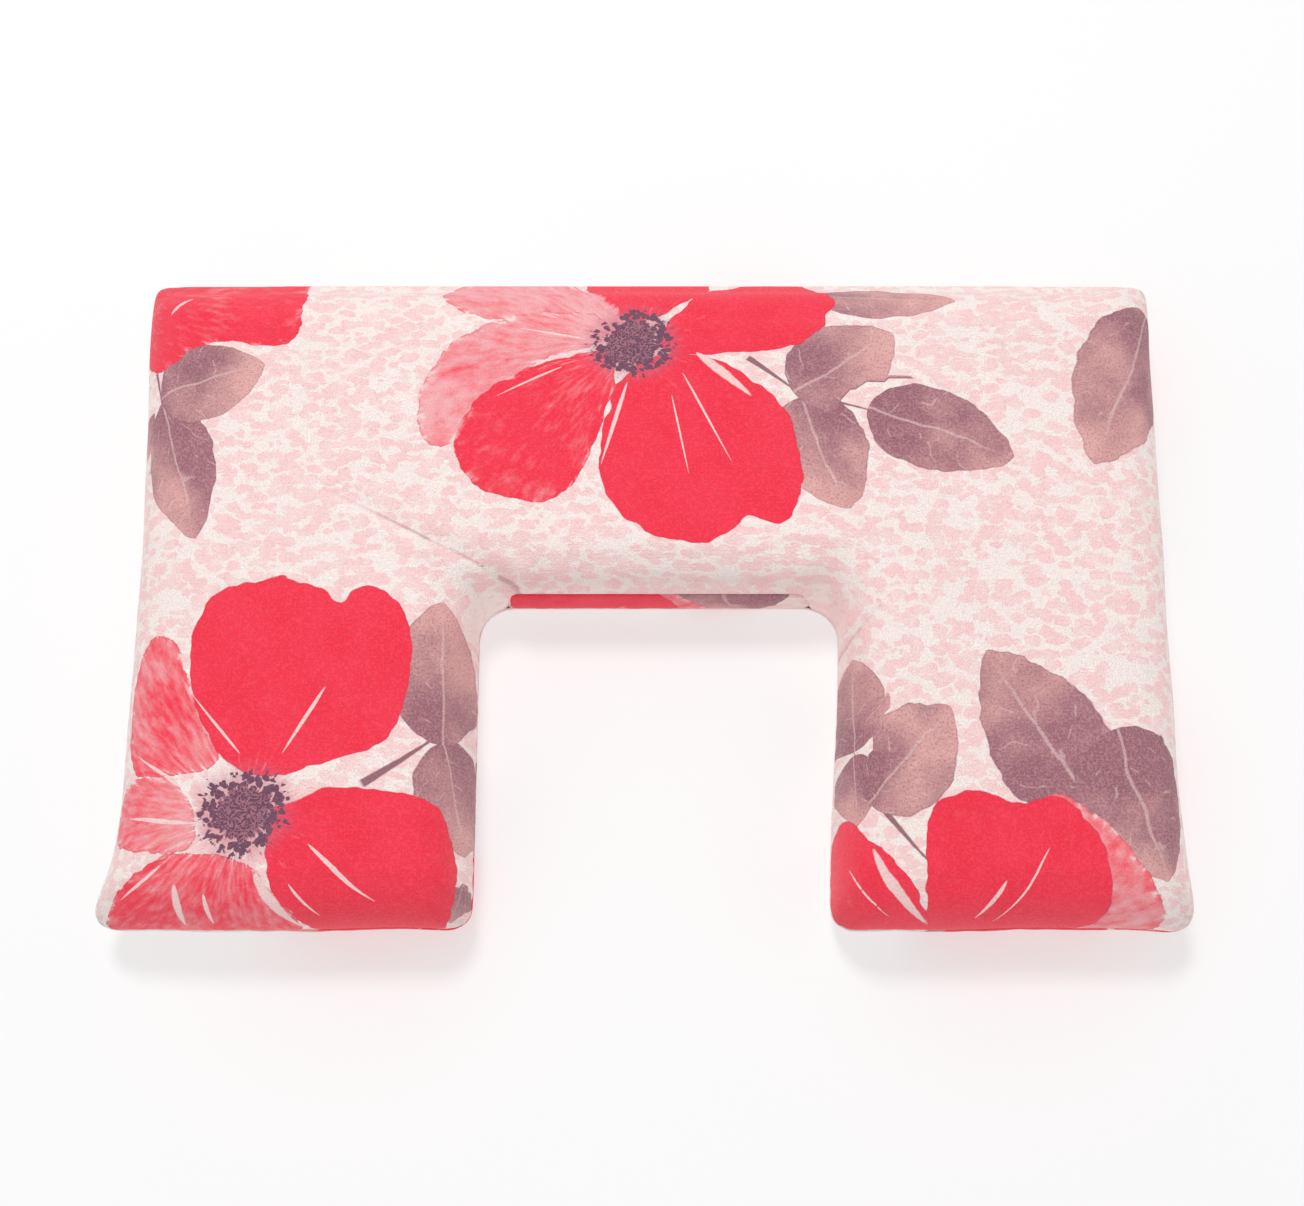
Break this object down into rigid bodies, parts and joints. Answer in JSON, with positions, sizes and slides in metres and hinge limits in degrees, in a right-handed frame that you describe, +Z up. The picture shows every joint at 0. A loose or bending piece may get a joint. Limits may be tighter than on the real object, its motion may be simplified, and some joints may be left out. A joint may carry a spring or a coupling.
{
  "type": "nursing pillow",
  "caption": "Flat U-shaped foam nursing cushion with a waist notch, in a removable printed cotton cover that a coil zip closes along the back edge.",
  "frame": {"origin": "middle of the cushion's bounding box in plan, on the surface that it rests on", "axes": "+X to the right along the long back edge, +Y towards the closed back edge and away from the notch, +Z up through the thickness"},
  "size_m": [0.6, 0.3846, 0.08],
  "materials": {
    "cover_cotton": "printed plain-weave cotton, matte",
    "gusset_cotton": "printed plain-weave cotton, matte",
    "liner_cloth": "plain undyed cloth, matte",
    "wadding": "polyester wadding, fluffy",
    "foam": "open-cell polyurethane foam",
    "zip_tape": "woven polyester tape",
    "zip_coil": "polyester monofilament, satin",
    "zip_metal": "nickel-plated zinc, satin"
  },
  "bodies": {
    "pillow": {"cover_top_panel": "cover_cotton", "cover_bottom_panel": "cover_cotton", "notch_gusset": "gusset_cotton", "liner_top": "liner_cloth", "liner_bottom": "liner_cloth", "wadding_top": "wadding", "wadding_bottom": "wadding", "foam_core": "foam", "zip_tape_upper": "zip_tape", "zip_tape_lower": "zip_tape", "zip_coil_upper": "zip_coil", "zip_coil_lower": "zip_coil", "zip_top_stop_upper": "zip_metal", "zip_top_stop_lower": "zip_metal", "zip_bottom_stop": "zip_metal"},
    "slider": {"zip_slider": "zip_metal"},
    "pull": {"zip_pull": "zip_metal"}
  },
  "joints": [
    {"name": "zip_slide", "type": "slide", "parent": "pillow", "child": "slider", "axis": [-1, 0, 0], "range_m": [0, 0.421]},
    {"name": "zip_pull_hinge", "type": "hinge", "parent": "slider", "child": "pull", "pos_m": [0.2105, 0.1931, 0.04], "axis": [0, 0, -1], "range_deg": [0, 180]}
  ]
}
